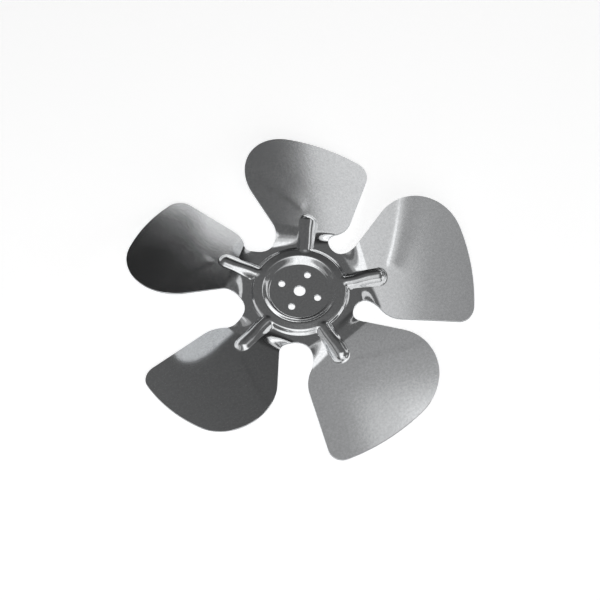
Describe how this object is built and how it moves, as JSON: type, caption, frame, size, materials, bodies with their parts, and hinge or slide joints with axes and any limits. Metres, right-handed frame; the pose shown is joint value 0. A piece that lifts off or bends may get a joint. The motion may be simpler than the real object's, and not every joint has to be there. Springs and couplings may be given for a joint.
{
  "type": "axial fan impeller",
  "caption": "Axial fan impeller pressed from one piece of sheet, with broad twisted blades, a rib along each blade root, a beaded hub, a central bore and screw holes around it.",
  "frame": {"origin": "centre of the bore on the lower, seating side of the hub", "axes": "+Z along the bore, towards the side where bead and ribs stand up; +X along the rib of the first blade"},
  "size_m": [0.2224, 0.2292, 0.032],
  "materials": {
    "sheet": "bright rolled sheet, slightly mottled"
  },
  "bodies": {
    "root": {"impeller": "sheet"}
  },
  "joints": []
}
